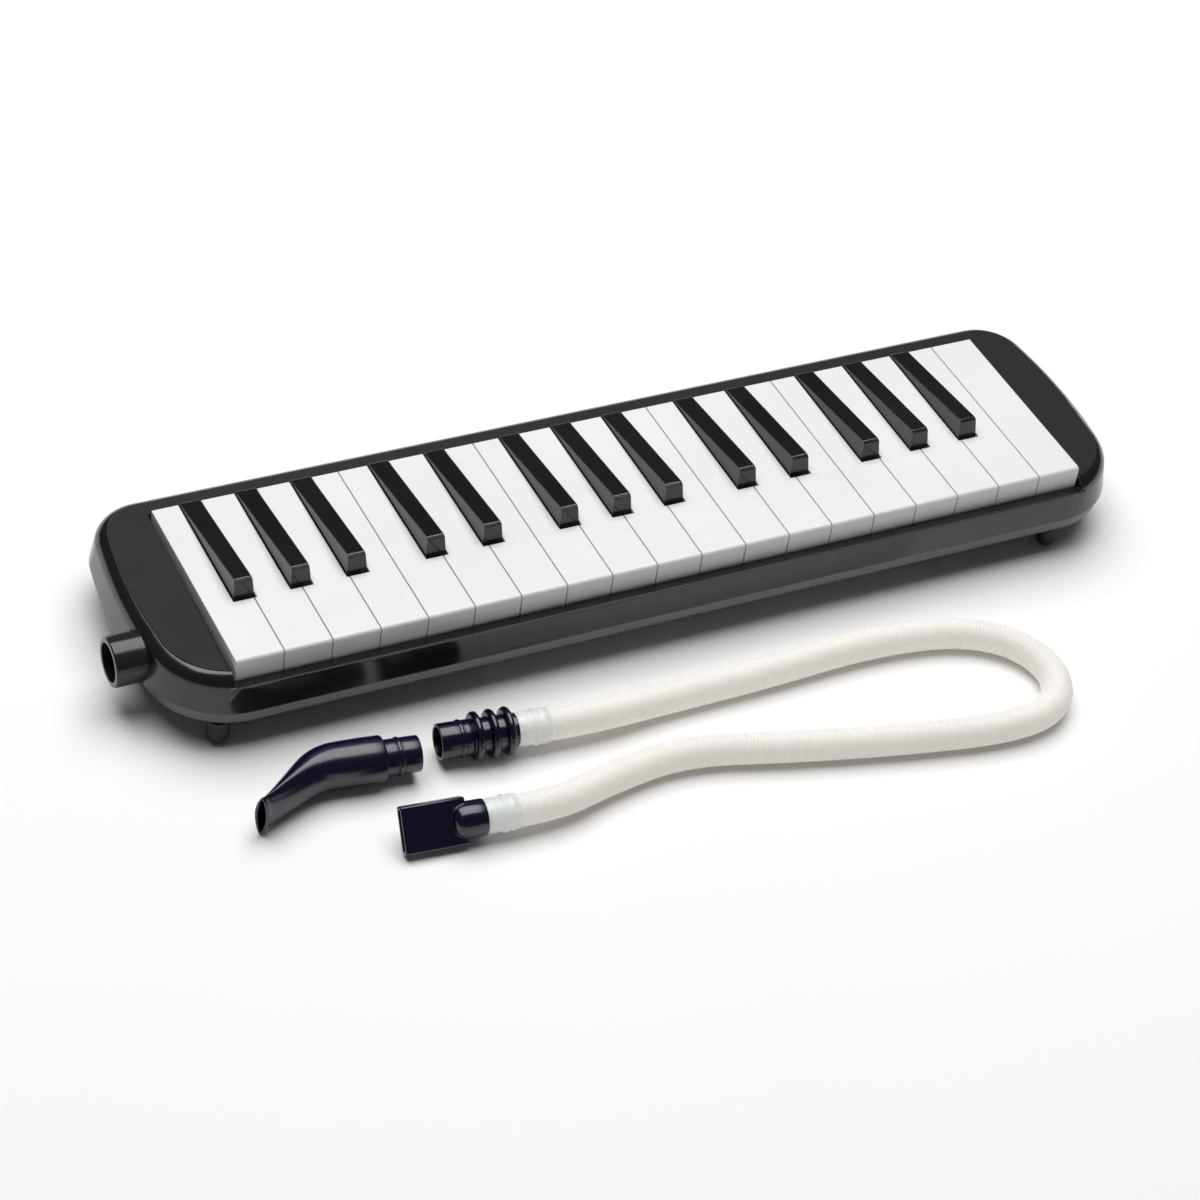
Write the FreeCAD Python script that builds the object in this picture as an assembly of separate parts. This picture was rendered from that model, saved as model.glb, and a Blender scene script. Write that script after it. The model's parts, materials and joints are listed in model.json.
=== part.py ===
import FreeCAD, Part
import math
import os

# A 32-key melodica, its blowing hose and its short mouthpiece, laid out on a table.
# Millimetres. +X runs towards the treble end, +Y towards the back of the instrument, +Z up.
# The table is Z = 0 and the origin is the middle of the instrument and mouthpiece on the table.

V = FreeCAD.Vector

# ---------------------------------------------------------------- driving dimensions
KEY_PITCH = 20.0            # from one white key to the next
WHITE_KEYS = 19
KEY_GAP = 0.45              # between neighbouring keys
KEYBOARD_LEFT = -187.0
KEY_FRONT_Y = -27.0
KEY_LENGTH = 93.0
KEY_TOP_Z = 41.5            # top of the white keys at their front edge
KEY_SLOPE = 1.6             # degrees that the white tops fall towards the back
WHITE_DEPTH = 10.5
WHITE_WALL = 1.4
WHITE_TOP_WALL = 1.8
NOTCH_FRONT = 32.0          # from the key's front edge to the notch for a black key
NOTCH_WIDTH = 9.8
BLACK_WIDTH = 8.8
BLACK_TOP_WIDTH = 7.2
BLACK_RISE = 8.0            # above the white tops, at the black key's front
BLACK_SKIRT = 9.0           # below the white tops
BLACK_REAR_RISE = 0.6

PIVOT_Y = 39.0
PIVOT_Z = 30.0
ROD_RADIUS = 1.0
ROD_RUNNING = 0.06          # clearance of a key's ears round the rod
EAR_RADIUS = 2.7

CASE_HALF_LENGTH = 219.5
CASE_FRONT_Y = -34.0
CASE_REAR_Y = 81.0
CASE_END_RADIUS = 240.0
FRONT_CORNER = 34.0
REAR_CORNER = 23.0
CASE_BOTTOM_Z = 12.6
SEAM_Z = 19.5
DECK_Z = 36.5
WALL = 2.4
FLOOR_TOP_Z = 14.4
TOP_LEAN = 2.9              # how far the upper wall leans in by the deck
SHOULDER = 7.5              # round between the deck and the wall
BOTTOM_ROUND = 2.0
PANEL_INSET = 7.0           # matte panel's edge, in from the case's widest outline
PANEL_THICK = 1.2
RAIL_Z = 31.5               # front rail in front of the keys
RAIL_FRONT_Y = -31.8
SHELF_Z = 24.5              # shelf under the keys' fronts, for the felt

PLATE_TOP_Z = 25.5          # valve plate
PLATE_THICK = 2.5
GASKET_THICK = 0.8
TRAY_FLOOR_Z = 14.5
TRAY_FLOOR_THICK = 1.5
CHAMBER_LEFT = -190.0
CHAMBER_RIGHT = 189.0
CHAMBER_FRONT = 13.0
CHAMBER_REAR = 68.0
CHAMBER_WALL = 2.0
CHAMBER_RIM = 3.0
VALVE_Y = 57.0
VALVE_RADIUS = 2.2
PAD_GAP = 0.05

SOCKET_Y = 4.6
SOCKET_Z = 23.5
SOCKET_OUTER = 10.2
SOCKET_BORE = 8.0
SOCKET_MOUTH_X = -226.0
SOCKET_DEPTH = 20.0
INLET_Z = 19.1              # height of the air inlet and of the drain in the chamber

DRAIN_Y = 20.5
BUTTON_RADIUS = 4.5

HOSE_RADIUS = 6.5
HOSE_BORE = 5.2

CASE_MID_X = KEYBOARD_LEFT + WHITE_KEYS * KEY_PITCH / 2
CASE_MID_Y = (CASE_FRONT_Y + CASE_REAR_Y) / 2
KEYBOARD_RIGHT = KEYBOARD_LEFT + WHITE_KEYS * KEY_PITCH
KEY_REAR_Y = KEY_FRONT_Y + KEY_LENGTH
PLATE_UNDER_Z = PLATE_TOP_Z - PLATE_THICK
TRAY_TOP_Z = PLATE_UNDER_Z - GASKET_THICK

# Black keys: the gap between white keys that each one sits over, and its shift from it.
# The keyboard starts on F, so the groups run 3, 2, 3, 2, 3.
GROUP_OF_THREE = (-3.7, 0.0, 3.7)
GROUP_OF_TWO = (-2.4, 2.4)
BLACK_GAPS = ((1, GROUP_OF_THREE), (5, GROUP_OF_TWO), (8, GROUP_OF_THREE),
              (12, GROUP_OF_TWO), (15, GROUP_OF_THREE))


# ---------------------------------------------------------------- helpers
def box(x0, x1, y0, y1, z0, z1):
    return Part.makeBox(x1 - x0, y1 - y0, z1 - z0, V(x0, y0, z0))


def cylinder(radius, start, end):
    axis = V(*end) - V(*start)
    return Part.makeCylinder(radius, axis.Length, V(*start), axis)


def tube(outer, inner, start, end):
    return cylinder(outer, start, end).cut(cylinder(inner, start, end))


def join(shapes):
    first = shapes[0]
    if len(shapes) == 1:
        return first
    return first.fuse(shapes[1:]).removeSplitter()


def save(name, solids):
    shape = solids[0] if len(solids) == 1 else Part.makeCompound(solids)
    shape.exportStep("parts/" + name + ".step")
    count = len(shape.Solids)
    print("%-22s %3d solid(s) %9.1f mm3 valid %s" % (name, count, shape.Volume, shape.isValid()))


def prism_along_x(points_yz, x0, x1):
    wire = Part.makePolygon([V(x0, y, z) for y, z in points_yz + points_yz[:1]])
    return Part.Face(wire).extrude(V(x1 - x0, 0, 0))


def prism_along_z(points_xy, z0, z1):
    wire = Part.makePolygon([V(x, y, z0) for x, y in points_xy + points_xy[:1]])
    return Part.Face(wire).extrude(V(0, 0, z1 - z0))


# ---------------------------------------------------------------- the case's outline
def case_outline(z, inset):
    """Closed wire: straight front and back, gently curved ends, and round corners."""
    end_x = CASE_HALF_LENGTH - CASE_END_RADIUS
    end_radius = CASE_END_RADIUS - inset
    right = []
    for corner, line_y, side in ((FRONT_CORNER, CASE_FRONT_Y, 1), (REAR_CORNER, CASE_REAR_Y, -1)):
        centre_y = line_y + side * corner
        rise = centre_y - CASE_MID_Y
        centre_x = end_x + math.sqrt((CASE_END_RADIUS - corner) ** 2 - rise ** 2)
        radius = corner - inset
        end_angle = math.atan2(rise, centre_x - end_x)
        line_angle = -side * math.pi / 2
        middle = (end_angle + line_angle) / 2
        on_line = (centre_x, centre_y + radius * math.sin(line_angle))
        half_way = (centre_x + radius * math.cos(middle), centre_y + radius * math.sin(middle))
        on_end = (end_x + end_radius * math.cos(end_angle),
                  CASE_MID_Y + end_radius * math.sin(end_angle))
        right.append((on_line, half_way, on_end))
    front, rear = right
    tip = (end_x + end_radius, CASE_MID_Y)

    def at(point, side=1):
        return V(CASE_MID_X + side * point[0], point[1], z)

    def arc(a, b, c):
        return Part.Arc(a, b, c).toShape()

    edges = [
        Part.LineSegment(at(front[0], -1), at(front[0])).toShape(),
        arc(at(front[0]), at(front[1]), at(front[2])),
        arc(at(front[2]), at(tip), at(rear[2])),
        arc(at(rear[2]), at(rear[1]), at(rear[0])),
        Part.LineSegment(at(rear[0]), at(rear[0], -1)).toShape(),
        arc(at(rear[0], -1), at(rear[1], -1), at(rear[2], -1)),
        arc(at(rear[2], -1), at(tip, -1), at(front[2], -1)),
        arc(at(front[2], -1), at(front[1], -1), at(front[0], -1)),
    ]
    return Part.Wire(edges)


def case_slab(levels):
    """Solid that follows the outline, with an inset at each height."""
    return Part.makeLoft([case_outline(z, inset) for z, inset in levels], True, True)


def rounded_rim(solid, z, radius):
    """Round the edges of the flat face at height z."""
    rim = [e for e in solid.Edges
           if abs(e.BoundBox.ZMin - z) < 0.01 and abs(e.BoundBox.ZMax - z) < 0.01]
    return solid.makeFillet(radius, rim)


# ---------------------------------------------------------------- places shared by parts
def black_keys():
    """Centre X and gap number of each black key, from the bass end."""
    found = []
    for first_gap, shifts in BLACK_GAPS:
        for step, shift in enumerate(shifts):
            gap = first_gap + step
            found.append((KEYBOARD_LEFT + gap * KEY_PITCH + shift, gap))
    return found


def white_stems():
    """Left and right X of each white key's narrow back part."""
    by_gap = {gap: x for x, gap in black_keys()}
    stems = []
    for index in range(WHITE_KEYS):
        left = KEYBOARD_LEFT + index * KEY_PITCH + KEY_GAP / 2
        right = left + KEY_PITCH - KEY_GAP
        if index in by_gap:
            left = by_gap[index] + NOTCH_WIDTH / 2
        if index + 1 in by_gap:
            right = by_gap[index + 1] - NOTCH_WIDTH / 2
        stems.append((left, right))
    return stems


def note_centres():
    """X of every note's valve, from the bass end."""
    stems = [(left + right) / 2 for left, right in white_stems()]
    return sorted(stems + [x for x, _ in black_keys()])


END_SCREW_X = 200.0         # screws near the ends, from the case's middle
END_SCREW_YS = (-17.0, 61.0)
SCREW_STEP = 110.0          # between the screws along the front and back
MIDDLE_SCREW_YS = (-21.5, 72.0)
SCREW_RADIUS = 1.45
SCREW_HOLE = 1.5
SCREW_PASS_HOLE = 1.7
SCREW_HEAD_RADIUS = 2.8
PILLAR_RADIUS = 3.0
POST_RADIUS = 3.2
SCREW_REACH = 8.0           # above the seam


def case_screw_places():
    ends = [(CASE_MID_X + side * END_SCREW_X, y) for side in (-1, 1) for y in END_SCREW_YS]
    middle = [(CASE_MID_X + step * SCREW_STEP, y) for step in (-1, 0, 1) for y in MIDDLE_SCREW_YS]
    return ends + middle


def under_shelf(x, y):
    """Whether a screw is one of those in front of the keys, under the shelf."""
    return y < 0 and abs(x - CASE_MID_X) < END_SCREW_X - 1


# ---------------------------------------------------------------- case
SOCKET_STEP_X = -213.0      # the socket is full width outside this


def socket_cutter():
    outside = cylinder(SOCKET_OUTER + 0.15, (SOCKET_MOUTH_X - 5, SOCKET_Y, SOCKET_Z),
                       (SOCKET_STEP_X + 0.4, SOCKET_Y, SOCKET_Z))
    inside = cylinder(SOCKET_BORE + 1.3, (SOCKET_STEP_X - 3, SOCKET_Y, SOCKET_Z),
                      (CHAMBER_LEFT - 8, SOCKET_Y, SOCKET_Z))
    return outside.fuse(inside)


def button_cutter():
    return cylinder(BUTTON_RADIUS + 0.3, (CASE_MID_X + 205, DRAIN_Y, INLET_Z),
                    (CASE_MID_X + 230, DRAIN_Y, INLET_Z))


def panel_slab(inset, z0, z1):
    """U of the matte panel: both ends and the strip behind the keys."""
    slab = case_slab([(z0, inset), (z1, inset)])
    grow = inset - PANEL_INSET
    keyboard = box(KEYBOARD_LEFT - 1.0 - grow, KEYBOARD_RIGHT + 1.0 + grow,
                   CASE_FRONT_Y - 5, KEY_REAR_Y + 0.8 + grow, z0 - 1, z1 + 1)
    return slab.cut(keyboard)


def upper_case():
    shell = rounded_rim(case_slab([(SEAM_Z, 0.0), (DECK_Z, TOP_LEAN)]), DECK_Z, SHOULDER)
    hollow = case_slab([(SEAM_Z - 1, WALL), (DECK_Z - WALL, WALL + TOP_LEAN)])
    shell = shell.cut(rounded_rim(hollow, DECK_Z - WALL, SHOULDER - WALL))
    # The keys' opening, the rail in front of it and the recess for the matte panel
    opening = box(KEYBOARD_LEFT - 1.0, KEYBOARD_RIGHT + 1.0, KEY_FRONT_Y - 1.0,
                  KEY_REAR_Y + 0.8, SEAM_Z, DECK_Z + 1)
    over_rail = box(KEYBOARD_LEFT - 1.0, KEYBOARD_RIGHT + 1.0, CASE_FRONT_Y - 5,
                    KEY_FRONT_Y, RAIL_Z, DECK_Z + 5)
    rail = box(KEYBOARD_LEFT - 3.0, KEYBOARD_RIGHT + 3.0, RAIL_FRONT_Y, KEY_FRONT_Y - 1.0,
               SEAM_Z, RAIL_Z)
    shelf = box(KEYBOARD_LEFT - 3.0, KEYBOARD_RIGHT + 3.0, RAIL_FRONT_Y, KEY_FRONT_Y + 9.0,
                SHELF_Z - 1.6, SHELF_Z)
    pillars = []
    holes = []
    for x, y in case_screw_places():
        low = under_shelf(x, y)
        pillar_top = SHELF_Z - 0.2 if low else DECK_Z - WALL + 0.2
        hole_top = SHELF_Z - 1.0 if low else SEAM_Z + SCREW_REACH + 0.2
        pillars.append(cylinder(PILLAR_RADIUS, (x, y, SEAM_Z - 2.5), (x, y, pillar_top)))
        holes.append(cylinder(SCREW_HOLE, (x, y, SEAM_Z - 3), (x, y, hole_top)))
    shell = shell.cut(opening)
    shell = join([shell, rail, shelf] + pillars)
    recess = panel_slab(PANEL_INSET - 0.15, DECK_Z - PANEL_THICK, DECK_Z + 1)
    return shell.cut([over_rail, recess, socket_cutter(), button_cutter()] + holes)


def lower_case():
    shell = case_slab([(CASE_BOTTOM_Z, 1.6), (SEAM_Z - 0.2, 0.6)])
    shell = rounded_rim(shell, CASE_BOTTOM_Z, BOTTOM_ROUND)
    hollow = case_slab([(FLOOR_TOP_Z, WALL + 1.4), (SEAM_Z + 1, WALL + 0.6)])
    shell = shell.cut(hollow)
    posts = [cylinder(POST_RADIUS, (x, y, FLOOR_TOP_Z - 0.5), (x, y, SEAM_Z - 2.6))
             for x, y in case_screw_places()]
    shell = join([shell] + posts)
    cutters = [socket_cutter(), button_cutter()]
    for x, y in case_screw_places():
        cutters.append(cylinder(SCREW_PASS_HOLE, (x, y, CASE_BOTTOM_Z - 1), (x, y, SEAM_Z)))
        cutters.append(cylinder(SCREW_HEAD_RADIUS + 0.2, (x, y, CASE_BOTTOM_Z - 1),
                                (x, y, CASE_BOTTOM_Z + 2.2)))
    for x, y in foot_places():
        cutters.append(cylinder(FOOT_NECK + 0.05, (x, y, CASE_BOTTOM_Z - 1), (x, y, SEAM_Z - 1)))
    return shell.cut(cutters)


def matte_panel():
    return panel_slab(PANEL_INSET, DECK_Z - PANEL_THICK + 0.02, DECK_Z - 0.1)


def case_screws():
    screws = []
    for x, y in case_screw_places():
        top = SHELF_Z - 1.2 if under_shelf(x, y) else SEAM_Z + SCREW_REACH
        shank = cylinder(SCREW_RADIUS, (x, y, CASE_BOTTOM_Z + 2.0), (x, y, top))
        head = cylinder(SCREW_HEAD_RADIUS, (x, y, CASE_BOTTOM_Z + 0.4), (x, y, CASE_BOTTOM_Z + 2.15))
        slot = box(x - 1.8, x + 1.8, y - 0.35, y + 0.35, CASE_BOTTOM_Z, CASE_BOTTOM_Z + 1.2)
        cross = box(x - 0.35, x + 0.35, y - 1.8, y + 1.8, CASE_BOTTOM_Z, CASE_BOTTOM_Z + 1.2)
        screws.append(shank.fuse(head).cut([slot, cross]))
    return screws


FOOT_RADIUS = 4.6
FOOT_NECK = 2.5
FOOT_FLAT = 1.6
FOOT_DOME = 6.5             # height of the rounded part
FOOT_XS = (-192.0, 186.0)
FOOT_YS = (-26.0, 73.0)


def foot_places():
    return [(x, y) for x in FOOT_XS for y in FOOT_YS]


def feet():
    solids = []
    for x, y in foot_places():
        # Outline of half a foot, spun round its axis: a flat tip, a dome and a peg
        tip = V(0, 0, 0)
        tip_edge = V(FOOT_FLAT, 0, 0)
        side = V(FOOT_RADIUS, 0, FOOT_DOME)
        dome = V(FOOT_RADIUS * 0.80, 0, FOOT_DOME * 0.30)
        edges = [
            Part.LineSegment(tip, tip_edge).toShape(),
            Part.Arc(tip_edge, dome, side).toShape(),
        ]
        corners = [side, V(FOOT_RADIUS, 0, CASE_BOTTOM_Z), V(FOOT_NECK, 0, CASE_BOTTOM_Z),
                   V(FOOT_NECK, 0, FLOOR_TOP_Z), V(0, 0, FLOOR_TOP_Z), tip]
        for a, b in zip(corners, corners[1:]):
            edges.append(Part.LineSegment(a, b).toShape())
        foot = Part.Face(Part.Wire(edges)).revolve(V(0, 0, 0), V(0, 0, 1), 360)
        foot.translate(V(x, y, 0))
        solids.append(foot)
    return solids


# ---------------------------------------------------------------- keys
def lay_on_slope(shape):
    """Move a key from its own place, front edge at Y = 0 and top at Z = 0, to the keyboard."""
    shape.rotate(V(0, 0, 0), V(1, 0, 0), -KEY_SLOPE)
    shape.translate(V(0, KEY_FRONT_Y, KEY_TOP_Z))
    return shape


def key_lever(left, right, wall):
    """Ears that run on the pivot rod, and the arm and pad over the valve."""
    ears = []
    for x0 in (left, right - wall):
        cheek = cylinder(EAR_RADIUS, (x0, PIVOT_Y, PIVOT_Z), (x0 + wall, PIVOT_Y, PIVOT_Z))
        web = box(x0, x0 + wall, PIVOT_Y - EAR_RADIUS, PIVOT_Y + EAR_RADIUS, PIVOT_Z, PIVOT_Z + 6.0)
        ears.append(cheek.fuse(web))
    arm = box(left, right, VALVE_Y - 5.0, VALVE_Y + 5.0, PLATE_TOP_Z + 3.0, PLATE_TOP_Z + 5.0)
    rod_hole = cylinder(ROD_RADIUS + ROD_RUNNING, (left - 1, PIVOT_Y, PIVOT_Z),
                        (right + 1, PIVOT_Y, PIVOT_Z))
    return ears + [arm], rod_hole


def valve_pad(x):
    return box(x - 3.0, x + 3.0, VALVE_Y - 4.0, VALVE_Y + 4.0, PLATE_TOP_Z + PAD_GAP,
               PLATE_TOP_Z + 3.0)


def white_key(index):
    left = KEYBOARD_LEFT + index * KEY_PITCH + KEY_GAP / 2
    right = left + KEY_PITCH - KEY_GAP
    stem_left, stem_right = white_stems()[index]
    plan = [(left, 0), (right, 0)]
    if stem_right < right:
        plan += [(right, NOTCH_FRONT), (stem_right, NOTCH_FRONT)]
    plan.append((stem_right, KEY_LENGTH))
    plan.append((stem_left, KEY_LENGTH))
    if stem_left > left:
        plan += [(stem_left, NOTCH_FRONT), (left, NOTCH_FRONT)]
    body = prism_along_z(plan, -WHITE_DEPTH, 0)
    front_edges = [e for e in body.Edges
                   if e.BoundBox.YMax < 0.01 and abs(e.BoundBox.ZMin) < 0.01]
    body = body.makeFillet(1.5, front_edges)
    front_hollow = box(left + WHITE_WALL, right - WHITE_WALL, WHITE_WALL,
                       NOTCH_FRONT - WHITE_WALL, -WHITE_DEPTH - 1, -WHITE_TOP_WALL)
    back_hollow = box(stem_left + WHITE_WALL, stem_right - WHITE_WALL, WHITE_WALL,
                      KEY_LENGTH - WHITE_WALL, -WHITE_DEPTH - 1, -WHITE_TOP_WALL)
    body = lay_on_slope(body.cut([front_hollow, back_hollow]))
    lever, rod_hole = key_lever(stem_left, stem_right, WHITE_WALL)
    key = join([body] + lever).cut(rod_hole)
    return [key, valve_pad((stem_left + stem_right) / 2)]


def black_key(centre):
    half = BLACK_WIDTH / 2
    top_half = BLACK_TOP_WIDTH / 2
    front = NOTCH_FRONT + 1.2
    side = [(front, -BLACK_SKIRT), (KEY_LENGTH, -BLACK_SKIRT), (KEY_LENGTH, BLACK_REAR_RISE),
            (front + 2.8, BLACK_RISE), (front + 1.5, BLACK_RISE - 0.8), (front + 0.6, 0.0)]
    body = prism_along_x(side, centre - half, centre + half)
    section = [(centre - half, -BLACK_SKIRT), (centre + half, -BLACK_SKIRT), (centre + half, 0),
               (centre + top_half, BLACK_RISE + 0.5), (centre - top_half, BLACK_RISE + 0.5),
               (centre - half, 0)]
    wire = Part.makePolygon([V(x, 0, z) for x, z in section + section[:1]])
    body = body.common(Part.Face(wire).extrude(V(0, KEY_LENGTH + 5, 0)))
    hollow = box(centre - half + 1.3, centre + half - 1.3, front + 2.6, KEY_LENGTH - WHITE_WALL,
                 -BLACK_SKIRT - 1, -WHITE_TOP_WALL)
    body = lay_on_slope(body.cut(hollow))
    lever, rod_hole = key_lever(centre - half, centre + half, 1.3)
    key = join([body] + lever).cut(rod_hole)
    return [key, valve_pad(centre)]


# ---------------------------------------------------------------- under the keys
COMB_BASE_Z = PLATE_TOP_Z + 1.0
RIB_THICK = 1.6


def pivot_comb():
    """Strip screwed along the valve plate, with one rib under each key to hold the rod."""
    base = box(KEYBOARD_LEFT + 1, KEYBOARD_RIGHT - 1, PIVOT_Y - 8, PIVOT_Y + 4,
               PLATE_TOP_Z, COMB_BASE_Z)
    ribs = []
    for x in note_centres():
        ribs.append(box(x - RIB_THICK / 2, x + RIB_THICK / 2, PIVOT_Y - 3, PIVOT_Y + 3,
                        PLATE_TOP_Z, PIVOT_Z + 2.4))
    hole = cylinder(ROD_RADIUS + 0.02, (KEYBOARD_LEFT - 5, PIVOT_Y, PIVOT_Z),
                    (KEYBOARD_RIGHT + 5, PIVOT_Y, PIVOT_Z))
    return join([base] + ribs).cut(hole)


def key_springs():
    """A small wire spring beside each rib: coil round the rod, one leg down, one leg up."""
    solids = []
    for x in note_centres():
        x0 = x + RIB_THICK / 2 + 0.2
        coil = cylinder(2.0, (x0, PIVOT_Y, PIVOT_Z), (x0 + 1.5, PIVOT_Y, PIVOT_Z))
        mid = x0 + 0.75
        low_leg = cylinder(0.35, (mid, PIVOT_Y - 1.4, PIVOT_Z - 0.9),
                           (mid, PIVOT_Y - 7.0, COMB_BASE_Z + 0.4))
        high_leg = cylinder(0.35, (mid, PIVOT_Y - 1.0, PIVOT_Z + 1.4),
                            (mid, PIVOT_Y - 13.0, PIVOT_Z + 5.4))
        core = cylinder(1.2, (x0 - 1, PIVOT_Y, PIVOT_Z), (x0 + 3, PIVOT_Y, PIVOT_Z))
        solids.append(join([coil, low_leg, high_leg]).cut(core))
    return solids


def key_pivot_rod():
    return cylinder(ROD_RADIUS, (KEYBOARD_LEFT - 0.5, PIVOT_Y, PIVOT_Z),
                    (KEYBOARD_RIGHT + 0.5, PIVOT_Y, PIVOT_Z))


def chamber_screw_places():
    inner = [CASE_MID_X + step * 46 for step in range(-4, 5)]
    return [(x, y) for x in inner for y in (CHAMBER_FRONT + 1.5, CHAMBER_REAR - 1.5)]


SPOUT_FRONT = -2.0
SPOUT_WIDTH = 12.0
NOZZLE_RADIUS = 2.9
CELL_FRONT = 23.0
CELL_DEPTH = 1.3
CELL_WIDTH = 5.4


def valve_plate():
    plate = box(CHAMBER_LEFT, CHAMBER_RIGHT, CHAMBER_FRONT, CHAMBER_REAR, PLATE_UNDER_Z, PLATE_TOP_Z)
    cutters = []
    for x in note_centres():
        cutters.append(box(x - CELL_WIDTH / 2, x + CELL_WIDTH / 2, CELL_FRONT,
                           VALVE_Y + VALVE_RADIUS, PLATE_UNDER_Z - 1, PLATE_UNDER_Z + CELL_DEPTH))
        cutters.append(cylinder(VALVE_RADIUS, (x, VALVE_Y, PLATE_UNDER_Z), (x, VALVE_Y, PLATE_TOP_Z + 1)))
    for x, y in chamber_screw_places():
        cutters.append(cylinder(1.05, (x, y, PLATE_UNDER_Z - 1), (x, y, PLATE_TOP_Z + 1)))
    return plate.cut(cutters)


def chamber_gasket():
    frame = box(CHAMBER_LEFT, CHAMBER_RIGHT, CHAMBER_FRONT, CHAMBER_REAR,
                TRAY_TOP_Z + 0.02, PLATE_UNDER_Z - 0.02)
    window = box(CHAMBER_LEFT + CHAMBER_WALL, CHAMBER_RIGHT - CHAMBER_WALL,
                 CHAMBER_FRONT + CHAMBER_RIM, CHAMBER_REAR - CHAMBER_RIM, TRAY_TOP_Z - 1, PLATE_TOP_Z)
    holes = [cylinder(1.05, (x, y, TRAY_TOP_Z - 1), (x, y, PLATE_TOP_Z))
             for x, y in chamber_screw_places()]
    return frame.cut([window] + holes)


def reed_chamber():
    tray = box(CHAMBER_LEFT, CHAMBER_RIGHT, CHAMBER_FRONT, CHAMBER_REAR, TRAY_FLOOR_Z, TRAY_TOP_Z)
    inside = box(CHAMBER_LEFT + CHAMBER_WALL, CHAMBER_RIGHT - CHAMBER_WALL,
                 CHAMBER_FRONT + CHAMBER_RIM, CHAMBER_REAR - CHAMBER_RIM,
                 TRAY_FLOOR_Z + TRAY_FLOOR_THICK, TRAY_TOP_Z + 1)
    # A spout from the bass end's front corner meets the blow socket's nozzle
    spout = box(CHAMBER_LEFT, CHAMBER_LEFT + SPOUT_WIDTH, SPOUT_FRONT, CHAMBER_FRONT + 1,
                TRAY_FLOOR_Z, TRAY_TOP_Z)
    spout_inside = box(CHAMBER_LEFT + CHAMBER_WALL, CHAMBER_LEFT + SPOUT_WIDTH - CHAMBER_WALL,
                       SPOUT_FRONT + CHAMBER_WALL, CHAMBER_FRONT + CHAMBER_RIM + 1,
                       TRAY_FLOOR_Z + TRAY_FLOOR_THICK, TRAY_TOP_Z - 1.5)
    inlet = cylinder(NOZZLE_RADIUS + 0.05, (CHAMBER_LEFT - 1, SOCKET_Y, INLET_Z),
                     (CHAMBER_LEFT + CHAMBER_WALL + 1, SOCKET_Y, INLET_Z))
    drain = cylinder(1.8, (CHAMBER_RIGHT - CHAMBER_WALL - 1, DRAIN_Y, INLET_Z),
                     (CHAMBER_RIGHT + 1, DRAIN_Y, INLET_Z))
    holes = [cylinder(1.0, (x, y, TRAY_FLOOR_Z + 2), (x, y, TRAY_TOP_Z + 1))
             for x, y in chamber_screw_places()]
    return tray.fuse(spout).removeSplitter().cut([inside, spout_inside, inlet, drain] + holes)


def chamber_screws():
    screws = []
    for x, y in chamber_screw_places():
        shank = cylinder(0.95, (x, y, TRAY_FLOOR_Z + 2.5), (x, y, PLATE_TOP_Z + 0.1))
        head = cylinder(1.8, (x, y, PLATE_TOP_Z), (x, y, PLATE_TOP_Z + 1.2))
        slot = box(x - 2, x + 2, y - 0.3, y + 0.3, PLATE_TOP_Z + 0.7, PLATE_TOP_Z + 2)
        screws.append(shank.fuse(head).cut(slot))
    return screws


LONGEST_REED = 30.0
SHORTEST_REED = 11.0
REED_WIDTH = 2.0
REED_PLATE_THICK = 1.0
REED_FRONT = 26.0


def reed_places():
    """X and length of each reed: the low notes have the long ones."""
    notes = note_centres()
    step = (LONGEST_REED - SHORTEST_REED) / (len(notes) - 1)
    return [(x, LONGEST_REED - step * index) for index, x in enumerate(notes)]


def reed_plate(first, last):
    places = reed_places()[first:last]
    margin = 3.4
    x0 = places[0][0] - margin
    x1 = places[-1][0] + margin
    plate = box(x0, x1, CELL_FRONT - 2, VALVE_Y + VALVE_RADIUS + 1.5,
                PLATE_UNDER_Z - REED_PLATE_THICK, PLATE_UNDER_Z)
    slots = [box(x - REED_WIDTH / 2 - 0.05, x + REED_WIDTH / 2 + 0.05, REED_FRONT, REED_FRONT + length,
                 PLATE_UNDER_Z - 3, PLATE_UNDER_Z + 1) for x, length in places]
    return plate.cut(slots)


def reeds():
    """Brass tongues on the plates' undersides, each held by a rivet at its front end."""
    under = PLATE_UNDER_Z - REED_PLATE_THICK
    solids = []
    for x, length in reed_places():
        tongue = box(x - REED_WIDTH / 2, x + REED_WIDTH / 2, REED_FRONT - 3.0,
                     REED_FRONT + length - 0.3, under - 0.22, under - 0.02)
        rivet = cylinder(0.8, (x, REED_FRONT - 1.6, under - 0.7), (x, REED_FRONT - 1.6, under - 0.1))
        solids.append(tongue.fuse(rivet))
    return solids


def key_stop_felt():
    return box(KEYBOARD_LEFT, KEYBOARD_RIGHT, KEY_FRONT_Y - 0.9, KEY_FRONT_Y + 8.0,
               SHELF_Z, SHELF_Z + 2.2)


# ---------------------------------------------------------------- blow socket and drain
FLANGE_X = -209.2           # plate that keeps the socket from being pulled out
FLANGE_RISE = 7.0           # above the socket's axis


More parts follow.
